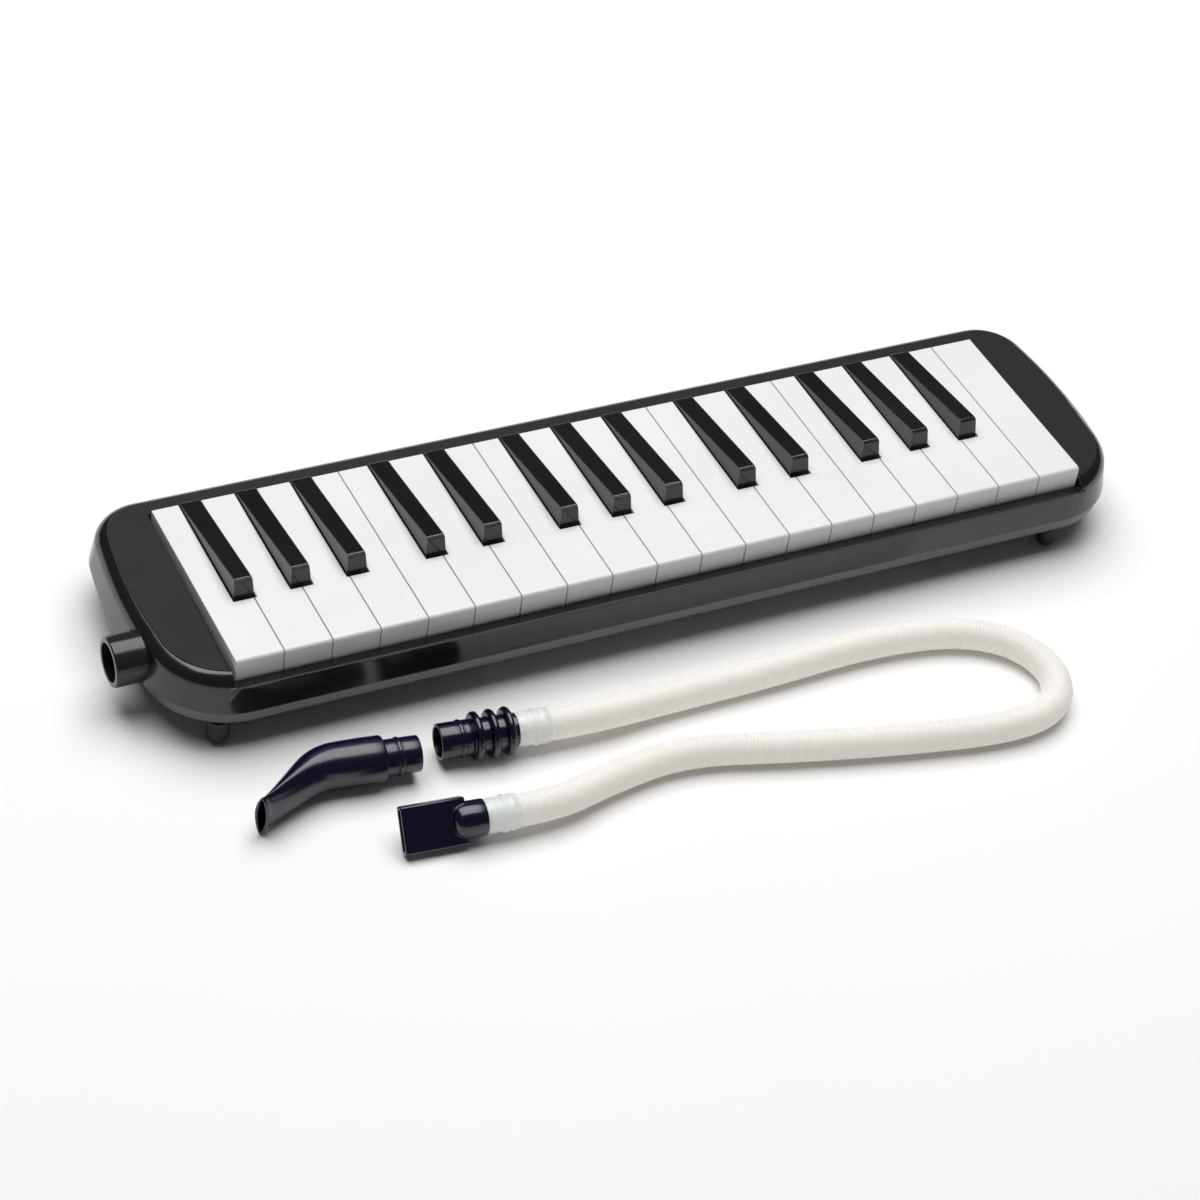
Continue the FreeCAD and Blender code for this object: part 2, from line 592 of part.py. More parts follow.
def blow_socket():
    wide = cylinder(SOCKET_OUTER, (SOCKET_MOUTH_X, SOCKET_Y, SOCKET_Z),
                    (SOCKET_STEP_X, SOCKET_Y, SOCKET_Z))
    lip = [e for e in wide.Edges if abs(e.BoundBox.XMax - SOCKET_MOUTH_X) < 0.01]
    wide = wide.makeFillet(0.8, lip)
    back_x = SOCKET_MOUTH_X + SOCKET_DEPTH
    narrow = cylinder(SOCKET_BORE + 1.1, (SOCKET_STEP_X - 1, SOCKET_Y, SOCKET_Z),
                      (back_x + 2, SOCKET_Y, SOCKET_Z))
    flange = box(FLANGE_X, FLANGE_X + 2, SOCKET_Y - 8.0, SOCKET_Y + 12.0,
                 FLOOR_TOP_Z + 0.4, SOCKET_Z + FLANGE_RISE)
    nozzle = cylinder(NOZZLE_RADIUS, (back_x, SOCKET_Y, INLET_Z),
                      (CHAMBER_LEFT + CHAMBER_WALL, SOCKET_Y, INLET_Z))
    bore = cylinder(SOCKET_BORE, (SOCKET_MOUTH_X - 1, SOCKET_Y, SOCKET_Z), (back_x, SOCKET_Y, SOCKET_Z))
    air_way = cylinder(NOZZLE_RADIUS - 0.9, (back_x - 1, SOCKET_Y, INLET_Z),
                       (CHAMBER_LEFT + CHAMBER_WALL + 1, SOCKET_Y, INLET_Z))
    return join([wide, narrow, flange, nozzle]).cut([bore, air_way])


BUTTON_END_X = CASE_MID_X + CASE_HALF_LENGTH + 3.0
BUTTON_COLLAR_X = CASE_MID_X + CASE_HALF_LENGTH - WALL - 2.0


def drain_button():
    """Push button on the treble end: its stem runs through the chamber's end wall."""
    head = cylinder(BUTTON_RADIUS, (BUTTON_COLLAR_X - 2.0, DRAIN_Y, INLET_Z),
                    (BUTTON_END_X, DRAIN_Y, INLET_Z))
    rim = [e for e in head.Edges if abs(e.BoundBox.XMin - BUTTON_END_X) < 0.01]
    head = head.makeFillet(1.2, rim)
    collar = box(BUTTON_COLLAR_X - 2.5, BUTTON_COLLAR_X - 0.5, DRAIN_Y - 7, DRAIN_Y + 7,
                 INLET_Z - BUTTON_RADIUS, INLET_Z + BUTTON_RADIUS)
    stem = cylinder(0.9, (CHAMBER_RIGHT - CHAMBER_WALL - 2.6, DRAIN_Y, INLET_Z),
                    (BUTTON_COLLAR_X, DRAIN_Y, INLET_Z))
    return join([head, collar, stem])


def drain_seal():
    """Rubber disc on the stem's inner end, shut against the inside of the chamber's wall."""
    inner_face = CHAMBER_RIGHT - CHAMBER_WALL
    return tube(2.8, 0.92, (inner_face - 2.0, DRAIN_Y, INLET_Z), (inner_face - 0.05, DRAIN_Y, INLET_Z))


def drain_spring():
    """Compression spring between the chamber's wall and the button, as a coil of round wire."""
    start = CHAMBER_RIGHT + 0.45
    length = BUTTON_COLLAR_X - 2.5 - start - 0.45
    helix = Part.makeHelix(length / 6.0, length, 2.6)
    ring = Part.Wire([Part.makeCircle(0.35, V(2.6, 0, 0), V(0, 1, 0))])
    coil = Part.Wire(helix).makePipeShell([ring], True, True)
    coil.rotate(V(0, 0, 0), V(0, 1, 0), 90)
    coil.translate(V(start, DRAIN_Y, INLET_Z))
    return coil


# ---------------------------------------------------------------- short mouthpiece
def turned(shape, heading, start):
    """Move a piece made along +X from the origin to its start, pointing along its heading."""
    shape.rotate(V(0, 0, 0), V(0, 0, 1), heading)
    shape.translate(V(*start))
    return shape


def oval(x, y, half_width, half_height, heading):
    """Upright oval across a path that runs along +X, turned by the path's heading."""
    major, minor = max(half_width, half_height), min(half_width, half_height)
    ellipse = Part.Ellipse(V(0, 0, 0), major, minor)
    edge = ellipse.toShape()
    edge.rotate(V(0, 0, 0), V(0, 0, 1), 90 if half_height > half_width else 0)
    # now its height is along Y: stand it up across the X axis
    edge.rotate(V(0, 0, 0), V(1, 0, 0), 90)
    edge.rotate(V(0, 0, 0), V(0, 0, 1), 90 + heading)
    edge.translate(V(x, y, 0))
    return Part.Wire([edge])


MOUTHPIECE_START = (-125.2, -66.1, 10.1)
MOUTHPIECE_HEADING = 173.0
PLUG_RADIUS = 7.2
PLUG_MOUTH_RADIUS = 5.9     # inside, at the open end
BEAD_RADIUS = 7.7
BODY_RADIUS = 9.2
BODY_BORE = 5.0
MOUTHPIECE_BEND = 36.5
# Along the body: distance, shift to the side, half width, half height, heading,
# and the half width and half height of the air way inside
MOUTHPIECE_SECTIONS = (
    (28.0, 0.0, BODY_RADIUS, BODY_RADIUS, 0.0, BODY_BORE, BODY_BORE),
    (36.0, 0.3, 8.9, 9.2, 8.0, 4.9, 5.4),
    (42.0, 2.4, 7.8, 9.2, 24.0, 4.4, 6.0),
    (48.0, 6.2, 6.4, 9.2, 34.0, 3.7, 6.6),
    (56.0, 12.0, 4.9, 9.2, MOUTHPIECE_BEND, 3.0, 7.2),
    (63.5, 17.6, 3.2, 9.4, MOUTHPIECE_BEND, 1.8, 7.8),
    (67.5, 20.6, 3.2, 9.9, MOUTHPIECE_BEND, 1.8, 8.3),
)


def mouthpiece():
    """Plug at one end, then a round body that bends and flattens to an upright slit."""
    plug = cylinder(PLUG_RADIUS, (0, 0, 0), (16, 0, 0))
    bead = cylinder(BEAD_RADIUS, (7.0, 0, 0), (8.6, 0, 0))
    body = cylinder(BODY_RADIUS, (14.5, 0, 0), (28, 0, 0))
    skin = [oval(x, y, wide, high, turn)
            for x, y, wide, high, turn, _, _ in MOUTHPIECE_SECTIONS]
    air = [oval(x, y, wide, high, turn)
           for x, y, _, _, turn, wide, high in MOUTHPIECE_SECTIONS]
    # The last section of the air way is carried on, so that it comes out through the lips
    x, y, _, _, turn, wide, high = MOUTHPIECE_SECTIONS[-1]
    beyond = math.tan(math.radians(MOUTHPIECE_BEND))
    air.append(oval(x + 1.5, y + 1.5 * beyond, wide, high, turn))
    tip = Part.makeLoft(skin, True, False)
    air_way = Part.makeLoft(air, True, False)
    solid = join([plug, bead, body, tip])
    mouth = cylinder(PLUG_MOUTH_RADIUS, (-1, 0, 0), (10, 0, 0))
    solid = solid.cut([mouth, cylinder(BODY_BORE, (-1, 0, 0), (28.01, 0, 0)), air_way])
    return turned(solid, MOUTHPIECE_HEADING, MOUTHPIECE_START)


# ---------------------------------------------------------------- hose and what is on it
HOSE_ROUTE = [
    (-72.1, -67.4, 9.9), (-53.1, -69.4, 9.9), (-18.3, -66.2, 6.6), (27.9, -65.8, 6.6),
    (74.0, -63.2, 6.6), (113.2, -67.4, 6.6), (136.7, -81.4, 6.6), (144.3, -103.5, 6.6),
    (133.2, -121.6, 6.6), (109.1, -125.1, 6.6), (68.0, -118.1, 6.6), (19.9, -107.0, 6.6),
    (-24.3, -94.5, 6.6), (-60.4, -99.5, 6.6), (-83.9, -106.9, 9.1), (-102.3, -105.2, 9.1),
]
ARC_SHARE = 0.45            # how much of the shorter run each arc takes up


def hose_path():
    """Straight runs joined by arcs that touch them both."""
    points = [V(*p) for p in HOSE_ROUTE]
    edges = []
    radii = []
    here = points[0]
    for before, corner, after in zip(points, points[1:], points[2:]):
        back = before - corner
        ahead = after - corner
        reach = ARC_SHARE * min(back.Length, ahead.Length)
        back.normalize()
        ahead.normalize()
        turn = math.pi - back.getAngle(ahead)
        radius = reach / math.tan(turn / 2)
        radii.append(radius)
        arc_in = corner + back * reach
        arc_out = corner + ahead * reach
        inward = (back + ahead).normalize()
        middle = corner + inward * (radius / math.cos(turn / 2) - radius)
        edges.append(Part.LineSegment(here, arc_in).toShape())
        edges.append(Part.Arc(arc_in, middle, arc_out).toShape())
        here = arc_out
    edges.append(Part.LineSegment(here, points[-1]).toShape())
    return Part.Wire(edges), radii


def swept(path, radius):
    first = path.OrderedEdges[0]
    start = first.valueAt(first.FirstParameter)
    direction = first.tangentAt(first.FirstParameter)
    ring = Part.Wire([Part.makeCircle(radius, start, direction)])
    return path.makePipeShell([ring], True, False)


def hose():
    path, radii = hose_path()
    outside = swept(path, HOSE_RADIUS)
    inside = swept(path, HOSE_BORE)
    solid = outside.cut(inside)
    area = math.pi * (HOSE_RADIUS ** 2 - HOSE_BORE ** 2)
    print("hose length %.1f, arc radii %s" % (path.Length, ", ".join("%.0f" % r for r in radii)))
    print("hose volume %.0f, section x length %.0f" % (solid.Volume, area * path.Length))
    return solid


SLEEVE_LENGTH = 12.0
SLEEVE_RADIUS = 6.9


def sleeve(index):
    """Clear sleeve over the hose's end: its open side faces back along the hose."""
    end = V(*HOSE_ROUTE[index])
    inner = V(*HOSE_ROUTE[1 if index == 0 else -2])
    axis = (end - inner).normalize()
    outer = end + axis * SLEEVE_LENGTH
    body = tube(SLEEVE_RADIUS, HOSE_BORE, tuple(end), tuple(outer))
    ring_start = end + axis * 3.6
    ring_end = end + axis * 5.2
    ring = tube(SLEEVE_RADIUS + 0.6, HOSE_BORE, tuple(ring_start), tuple(ring_end))
    return join([body, ring]), outer, axis


def heading_of(axis):
    return math.degrees(math.atan2(axis.y, axis.x))


DISC_RADIUS = 9.8
DISC_THICK = 3.0            # the rim is round, so its radius is half of this
DISC_CENTRES = (3.65, 10.05, 16.5)
CONNECTOR_LENGTH = 31.8


def round_disc(x):
    """Disc across the connector, with a half-round rim."""
    round_radius = DISC_THICK / 2
    flat = cylinder(DISC_RADIUS - round_radius, (x - round_radius, 0, 0), (x + round_radius, 0, 0))
    rim = Part.makeTorus(DISC_RADIUS - round_radius, round_radius, V(x, 0, 0), V(1, 0, 0))
    return flat.fuse(rim)


def hose_connector(start, axis):
    """Ribbed grip and the plug that goes into the blow socket."""
    neck = cylinder(PLUG_RADIUS, (0, 0, 0), (19, 0, 0))
    plug = cylinder(PLUG_RADIUS, (18.5, 0, 0), (CONNECTOR_LENGTH, 0, 0))
    bead = cylinder(BEAD_RADIUS, (22.0, 0, 0), (23.6, 0, 0))
    discs = [round_disc(x) for x in DISC_CENTRES]
    solid = join([neck, plug, bead] + discs)
    mouth = cylinder(PLUG_MOUTH_RADIUS, (CONNECTOR_LENGTH - 10, 0, 0), (CONNECTOR_LENGTH + 1, 0, 0))
    solid = solid.cut([cylinder(HOSE_BORE, (-1, 0, 0), (CONNECTOR_LENGTH, 0, 0)), mouth])
    return turned(solid, heading_of(axis), tuple(start))


FLAT_TILT = 49.0            # degrees that the flat blade is rolled about its length
COLLAR_RADIUS = 7.2
COLLAR_LENGTH = 12.7
BLADE_START = 7.3           # the blade begins part of the way along the collar
BLADE_LENGTH = 25.6
BLADE_WIDTH = 18.5
BLADE_THICK = 5.4
SLIT_WALL = 1.3
SLIT_SIDE_WALL = 1.8
SLIT_START = 16.0
FLAT_BORE = 3.0


def hose_mouthpiece(start, axis):
    """Round collar that runs into a flat blade with a slit at its end."""
    collar = cylinder(COLLAR_RADIUS, (0, 0, 0), (COLLAR_LENGTH, 0, 0))
    half = BLADE_WIDTH / 2
    thick = BLADE_THICK / 2
    end = BLADE_START + BLADE_LENGTH
    blade = box(BLADE_START, end, -half, half, -thick, thick)
    long_edges = [e for e in blade.Edges
                  if e.BoundBox.XLength > 1 or abs(e.BoundBox.XMin - end) < 0.01]
    blade = blade.makeFillet(1.0, long_edges)
    slit = box(SLIT_START, end + 1, SLIT_SIDE_WALL - half, half - SLIT_SIDE_WALL,
               SLIT_WALL - thick, thick - SLIT_WALL)
    air_way = cylinder(FLAT_BORE, (-1, 0, 0), (COLLAR_LENGTH, 0, 0))
    throat = cylinder(thick - SLIT_WALL, (COLLAR_LENGTH - 1, 0, 0), (SLIT_START + 1, 0, 0))
    solid = join([collar, blade]).cut([slit, air_way, throat])
    solid.rotate(V(0, 0, 0), V(1, 0, 0), -FLAT_TILT)
    return turned(solid, heading_of(axis), tuple(start))


# ---------------------------------------------------------------- write every piece
os.makedirs("parts", exist_ok=True)

save("upper_case", [upper_case()])
save("lower_case", [lower_case()])
save("matte_panel", [matte_panel()])
save("case_screws", case_screws())
save("rubber_feet", feet())
for number in range(WHITE_KEYS):
    save("white_key_%02d" % (number + 1), white_key(number))
for number, (key_x, _) in enumerate(black_keys()):
    save("black_key_%02d" % (number + 1), black_key(key_x))
save("pivot_comb", [pivot_comb()])
save("key_pivot_rod", [key_pivot_rod()])
save("key_springs", key_springs())
save("key_stop_felt", [key_stop_felt()])
save("valve_plate", [valve_plate()])
save("chamber_gasket", [chamber_gasket()])
save("reed_chamber", [reed_chamber()])
save("chamber_screws", chamber_screws())
save("reed_plate_low", [reed_plate(0, 16)])
save("reed_plate_high", [reed_plate(16, 32)])
save("reeds", reeds())
save("blow_socket", [blow_socket()])
save("drain_button", [drain_button()])
save("drain_seal", [drain_seal()])
save("drain_spring", [drain_spring()])
save("mouthpiece", [mouthpiece()])
save("hose", [hose()])
sleeve_a, connector_start, connector_axis = sleeve(0)
save("hose_sleeve_a", [sleeve_a])
save("hose_connector", [hose_connector(connector_start, connector_axis)])
sleeve_b, blade_start, blade_axis = sleeve(-1)
save("hose_sleeve_b", [sleeve_b])
save("hose_mouthpiece", [hose_mouthpiece(blade_start, blade_axis)])
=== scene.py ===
import json
import math

import bmesh
import bpy
from mathutils import Matrix, Vector


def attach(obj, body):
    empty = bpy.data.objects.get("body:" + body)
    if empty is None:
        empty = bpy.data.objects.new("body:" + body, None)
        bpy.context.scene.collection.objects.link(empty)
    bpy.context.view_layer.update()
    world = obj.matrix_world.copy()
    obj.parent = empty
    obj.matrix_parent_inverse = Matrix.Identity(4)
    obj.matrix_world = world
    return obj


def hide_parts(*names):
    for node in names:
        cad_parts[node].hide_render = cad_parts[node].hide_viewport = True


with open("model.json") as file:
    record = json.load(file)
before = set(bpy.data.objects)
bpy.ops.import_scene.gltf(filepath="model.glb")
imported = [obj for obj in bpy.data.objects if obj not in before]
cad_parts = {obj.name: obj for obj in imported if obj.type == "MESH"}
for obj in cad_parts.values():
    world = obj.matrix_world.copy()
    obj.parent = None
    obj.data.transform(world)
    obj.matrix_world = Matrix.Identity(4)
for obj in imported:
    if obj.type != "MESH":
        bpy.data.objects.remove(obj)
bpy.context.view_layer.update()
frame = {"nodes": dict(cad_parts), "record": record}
nodes = frame["nodes"]
scene = bpy.context.scene
MM = 0.001                  # sizes below are in millimetres unless they say otherwise


# ------------------------------------------------------------------ camera
CAMERA_PLACE = (-0.5717, -0.8915, 0.9579)   # metres
CAMERA_RIGHT = Vector((0.8961, -0.4260, 0.1249))
CAMERA_DOWN = Vector((-0.2086, -0.6524, -0.7287))
CAMERA_AHEAD = Vector((0.3919, 0.6268, -0.6735))
SENSOR_WIDTH = 36.0
CAMERA_LENS = 103.71

camera_data = bpy.data.cameras.new("camera")
camera_data.sensor_width = SENSOR_WIDTH
camera_data.lens = CAMERA_LENS
camera = bpy.data.objects.new("camera", camera_data)
scene.collection.objects.link(camera)
turn = Matrix((CAMERA_RIGHT, -CAMERA_DOWN, -CAMERA_AHEAD)).transposed()
camera.matrix_world = Matrix.Translation(CAMERA_PLACE) @ turn.to_4x4()
scene.camera = camera


# ------------------------------------------------------------------ hose route
# The same points as the solid hose is built on
HOSE_ROUTE = [
    (-72.1, -67.4, 9.9), (-53.1, -69.4, 9.9), (-18.3, -66.2, 6.6), (27.9, -65.8, 6.6),
    (74.0, -63.2, 6.6), (113.2, -67.4, 6.6), (136.7, -81.4, 6.6), (144.3, -103.5, 6.6),
    (133.2, -121.6, 6.6), (109.1, -125.1, 6.6), (68.0, -118.1, 6.6), (19.9, -107.0, 6.6),
    (-24.3, -94.5, 6.6), (-60.4, -99.5, 6.6), (-83.9, -106.9, 9.1), (-102.3, -105.2, 9.1),
]
HOSE_RADIUS = 6.5
HOSE_BORE = 5.4             # every bore here is a radius
ROUTE_STEPS = 24            # points read from the curve in each of its spans
RING_PITCH = 1.5            # from one corrugation to the next
RING_DEPTH = 0.32
RIDGE_POWER = 1.6           # above 1 makes the ridges broader than the valleys
RING_STEPS = 6              # mesh rings in one corrugation
HOSE_SIDES = 40
DIRECTION_REACH = 2         # places on each side that a direction is taken over


def route_points():
    """Points along the smooth line that the route's points control, in metres."""
    curve = bpy.data.curves.new("route", "CURVE")
    curve.dimensions = "3D"
    curve.resolution_u = ROUTE_STEPS
    spline = curve.splines.new("NURBS")
    spline.points.add(len(HOSE_ROUTE) - 1)
    for point, place in zip(spline.points, HOSE_ROUTE):
        point.co = (place[0] * MM, place[1] * MM, place[2] * MM, 1.0)
    spline.order_u = 3
    spline.use_endpoint_u = True
    holder = bpy.data.objects.new("route", curve)
    scene.collection.objects.link(holder)
    mesh = bpy.data.meshes.new_from_object(holder)
    points = [v.co.copy() for v in mesh.vertices]
    bpy.data.objects.remove(holder)
    bpy.data.meshes.remove(mesh)
    return points


def walk(points, step):
    """Places along the points, one every step, and the direction at each."""
    lengths = [0.0]
    for a, b in zip(points, points[1:]):
        lengths.append(lengths[-1] + (b - a).length)
    count = int(lengths[-1] / step)
    found = []
    at = 0
    for index in range(count + 1):
        along = lengths[-1] * index / count
        while at < len(points) - 2 and lengths[at + 1] < along:
            at += 1
        share = (along - lengths[at]) / (lengths[at + 1] - lengths[at])
        place = points[at].lerp(points[at + 1], share)
        found.append((place, along))
    directions = []
    for index in range(len(found)):
        before = found[max(index - DIRECTION_REACH, 0)][0]
        after = found[min(index + DIRECTION_REACH, len(found) - 1)][0]
        directions.append((after - before).normalized())
    return found, directions


# ------------------------------------------------------------------ mesh helpers
def finish_mesh(name, mesh, sharp=35.0):
    """Object from a mesh, smooth except across edges sharper than an angle in degrees."""
    mesh.validate()
    for face in mesh.polygons:
        face.use_smooth = True
    mesh.set_sharp_from_angle(angle=math.radians(sharp))
    piece = bpy.data.objects.new(name, mesh)
    scene.collection.objects.link(piece)
    return piece


def skin(rings):
    """Faces between rings of points. The last ring meets the first, so the skin is closed."""
    verts = [p for ring in rings for p in ring]
    sides = len(rings[0])
    faces = []
    for r in range(len(rings)):
        a = r * sides
        b = ((r + 1) % len(rings)) * sides
        for s in range(sides):
            t = (s + 1) % sides
            faces.append((a + s, a + t, b + t, b + s))
    return verts, faces


def mesh_from(name, verts, faces):
    """Mesh with every face turned outwards."""
    mesh = bpy.data.meshes.new(name)
    mesh.from_pydata([tuple(v) for v in verts], [], faces)
    shape = bmesh.new()
    shape.from_mesh(mesh)
    bmesh.ops.recalc_face_normals(shape, faces=shape.faces)
    shape.to_mesh(mesh)
    shape.free()
    return mesh


def placement(start, heading, roll=0.0):
    """Moves a piece made along +X, in millimetres, to its start and heading."""
    move = Matrix.Translation(Vector(start) * MM)
    turn_z = Matrix.Rotation(math.radians(heading), 4, "Z")
    roll_x = Matrix.Rotation(math.radians(roll), 4, "X")
    return move @ turn_z @ roll_x @ Matrix.Scale(MM, 4)


LATHE_SIDES = 64


def lathe_parts(profile):
    """Skin of a closed profile of (x, radius) spun round the X axis."""
    rings = []
    for x, radius in profile:
        ring = []
        for s in range(LATHE_SIDES):
            angle = 2 * math.pi * s / LATHE_SIDES
            ring.append(Vector((x, radius * math.cos(angle), radius * math.sin(angle))))
        rings.append(ring)
    return skin(rings)


def heading_of(inner, outer):
    """Direction in plan from inner to outer, in degrees."""
    return math.degrees(math.atan2(outer[1] - inner[1], outer[0] - inner[0]))


def beyond(inner, outer, distance):
    """Point further along the line from inner through outer."""
    axis = (Vector(outer) - Vector(inner)).normalized()
    return tuple(Vector(outer) + axis * distance)


# ------------------------------------------------------------------ hose
def hose_ring(place, ahead, radius):
    """Ring of points round one place on the hose's line, with its radius in metres."""
    side = ahead.cross(Vector((0, 0, 1))).normalized()
    top = side.cross(ahead).normalized()
    ring = []
    for s in range(HOSE_SIDES):
        angle = 2 * math.pi * s / HOSE_SIDES
        ring.append(place + side * (radius * math.cos(angle)) + top * (radius * math.sin(angle)))
    return ring


def corrugated_hose():
    """Ridged outside, then back along a plain bore. Also gives the line that it follows."""
    found, directions = walk(route_points(), RING_PITCH * MM / RING_STEPS)
    rings = []
    for (place, along), ahead in zip(found, directions):
        wave = math.cos(2 * math.pi * along / (RING_PITCH * MM))
        valley = (0.5 - 0.5 * wave) ** RIDGE_POWER
        rings.append(hose_ring(place, ahead, (HOSE_RADIUS - RING_DEPTH * valley) * MM))
    for (place, _), ahead in list(zip(found, directions))[::-RING_STEPS]:
        rings.append(hose_ring(place, ahead, HOSE_BORE * MM))
    verts, faces = skin(rings)
    mesh = mesh_from("hose_corrugated", verts, faces)
    piece = finish_mesh("hose_corrugated", mesh, sharp=80.0)
    return piece, [tuple(p) for p, _ in found[::RING_STEPS]]


SLEEVE_LENGTH = 12.0
SLEEVE_BORE = 5.4
# (distance along the sleeve, radius): the raised rings, then its bore
SLEEVE_PROFILE = [
    (-1.5, 6.75), (-1.2, 6.95), (0.6, 6.98), (1.0, 7.2), (1.6, 7.25), (2.0, 6.95),
    (3.3, 6.9), (3.7, 7.35), (4.4, 7.45), (5.1, 7.35), (5.5, 6.9), (8.2, 6.8),
    (8.6, 7.0), (9.3, 7.05), (9.8, 6.8), (SLEEVE_LENGTH, 6.75),
    (SLEEVE_LENGTH, SLEEVE_BORE),
    (-1.5, 6.35),
]


def sleeve(name, index):
    """Clear sleeve with moulded rings, over one end of the hose."""
    end = HOSE_ROUTE[index]
    inner = HOSE_ROUTE[1 if index == 0 else -2]
    verts, faces = lathe_parts(SLEEVE_PROFILE)
    mesh = mesh_from(name, verts, faces)
    mesh.transform(placement(end, heading_of(inner, end)))
    return finish_mesh(name, mesh, sharp=50.0)


PLUG_RADIUS = 7.2
DISC_RADIUS = 9.8
RIM_ROUND = 1.5
RIM_STEPS = 8
FILLET = 0.35               # where a disc meets the neck
DISC_CENTRES = (3.65, 10.05, 16.5)
CONNECTOR_LENGTH = 31.8
CONNECTOR_BORE = 5.4
NECK_RADIUS = 6.9
NECK_RIM = 0.3              # bevel at the neck's end
SHOULDER = 0.9              # slope from the last disc's neck to the plug
BEAD_X = 22.4
PLUG_WALL = 1.4
BORE_STEP_X = 10.0          # where the bore starts to narrow towards the hose


def plug_profile(mouth, bead):
    """Bead between two grooves, outside of the plug and its rounded mouth.

    mouth and bead are their distances along the piece.
    """
    # Distance from the bead or the mouth, and rise above the plug's radius
    from_bead = [(-0.9, 0.0), (-0.7, -0.25), (-0.3, -0.25), (0.0, 0.3), (0.35, 0.45),
                 (0.9, 0.45), (1.25, 0.3), (1.5, -0.2), (2.0, -0.2), (2.2, 0.0)]
    from_mouth = [(-0.5, 0.0), (-0.15, -0.15), (0.0, -0.45), (0.0, -1.0),
                  (-0.2, -1.25), (-0.6, -1.35)]
    return ([(bead + along, PLUG_RADIUS + rise) for along, rise in from_bead]
            + [(mouth + along, PLUG_RADIUS + rise) for along, rise in from_mouth])


def connector():
    """Three round-rimmed grip ribs on a neck, then the plug."""
    profile = [(0.0, CONNECTOR_BORE), (0.0, NECK_RADIUS - NECK_RIM), (NECK_RIM, NECK_RADIUS)]
    for centre in DISC_CENTRES:
        profile.append((centre - RIM_ROUND - FILLET, NECK_RADIUS))
        profile.append((centre - RIM_ROUND, NECK_RADIUS + FILLET))
        for step in range(RIM_STEPS + 1):
            angle = math.pi * step / RIM_STEPS
            profile.append((centre - RIM_ROUND * math.cos(angle),
                            DISC_RADIUS - RIM_ROUND + RIM_ROUND * math.sin(angle)))
        profile.append((centre + RIM_ROUND, NECK_RADIUS + FILLET))
        profile.append((centre + RIM_ROUND + FILLET, NECK_RADIUS))
    profile.append((DISC_CENTRES[-1] + RIM_ROUND + SHOULDER, PLUG_RADIUS))
    profile += plug_profile(CONNECTOR_LENGTH, BEAD_X)
    profile.append((BORE_STEP_X, PLUG_RADIUS - PLUG_WALL))
    inner, end = HOSE_ROUTE[1], HOSE_ROUTE[0]
    verts, faces = lathe_parts(profile)
    mesh = mesh_from("connector", verts, faces)
    mesh.transform(placement(beyond(inner, end, SLEEVE_LENGTH), heading_of(inner, end)))
    return finish_mesh("connector", mesh)


FLAT_TILT = 49.0            # degrees that the blade is rolled about its length
COLLAR_RADIUS = 7.2
COLLAR_BORE = 5.4
DOME_START = 7.4            # where the collar starts to round over on to the blade
DOME_LENGTH = 6.2
DOME_STEPS = 9
DOME_POWER = 0.6            # below 1 makes the dome blunter than a ball
DOME_TIP = 0.4              # radius left at the tip, so that the skin isn't pinched there
COLLAR_BORE_END = 9.0
BLADE_START = 7.3
BLADE_END = 32.9
BLADE_HALF_WIDTH = 9.25
BLADE_HALF_THICK = 2.7
BLADE_MIDDLE = 22.0
SLIT_START = 16.0
CORNER_STEPS = 8


def rounded_ring(x, half_y, half_z, corner):
    """Rounded rectangle across the X axis."""
    ring = []
    for cy, cz, first in ((1, 1, 0), (-1, 1, 90), (-1, -1, 180), (1, -1, 270)):
        for step in range(CORNER_STEPS + 1):
            angle = math.radians(first + 90 * step / CORNER_STEPS)
            ring.append(Vector((x, cy * (half_y - corner) + corner * math.cos(angle),
                                cz * (half_z - corner) + corner * math.sin(angle))))
    return ring


def flat_mouthpiece():
    """Collar that domes into a flat blade; the blade is open at its end."""
    w, t = BLADE_HALF_WIDTH, BLADE_HALF_THICK
    # Distance, half width, half thickness and corner: along the outside, then back up the slit
    levels = [(BLADE_START, w - 1.0, t - 0.8, 0.5),
              (BLADE_START + 0.3, w - 0.3, t - 0.25, 0.7),
              (BLADE_START + 0.9, w, t, 0.9), (BLADE_MIDDLE, w, t, 0.9),
              (BLADE_END - 0.9, w, t, 0.9),
              (BLADE_END - 0.25, w - 0.12, t - 0.12, 0.8), (BLADE_END, w - 0.45, t - 0.4, 0.6),
              (BLADE_END, w - 1.1, t - 0.95, 0.5), (BLADE_END - 0.35, w - 1.4, t - 1.2, 0.45),
              (SLIT_START, w - 1.6, t - 1.35, 0.45)]
    blade_verts, blade_faces = skin([rounded_ring(*level) for level in levels])
    collar = [(0.0, COLLAR_BORE), (0.0, COLLAR_RADIUS - 0.5), (0.15, COLLAR_RADIUS - 0.15),
              (0.5, COLLAR_RADIUS), (DOME_START, COLLAR_RADIUS)]
    for step in range(1, DOME_STEPS):
        angle = math.radians(90 * step / DOME_STEPS)
        collar.append((DOME_START + DOME_LENGTH * math.sin(angle),
                       COLLAR_RADIUS * math.cos(angle) ** DOME_POWER))
    collar += [(DOME_START + DOME_LENGTH, DOME_TIP), (COLLAR_BORE_END, DOME_TIP)]
    collar_verts, collar_faces = lathe_parts(collar)
    count = len(blade_verts)
    verts = blade_verts + collar_verts
    faces = blade_faces + [tuple(v + count for v in f) for f in collar_faces]
    mesh = mesh_from("flat_mouthpiece", verts, faces)
    inner, end = HOSE_ROUTE[-2], HOSE_ROUTE[-1]
    start = beyond(inner, end, SLEEVE_LENGTH)
    mesh.transform(placement(start, heading_of(inner, end), -FLAT_TILT))
    return finish_mesh("flat_mouthpiece", mesh, sharp=40.0)


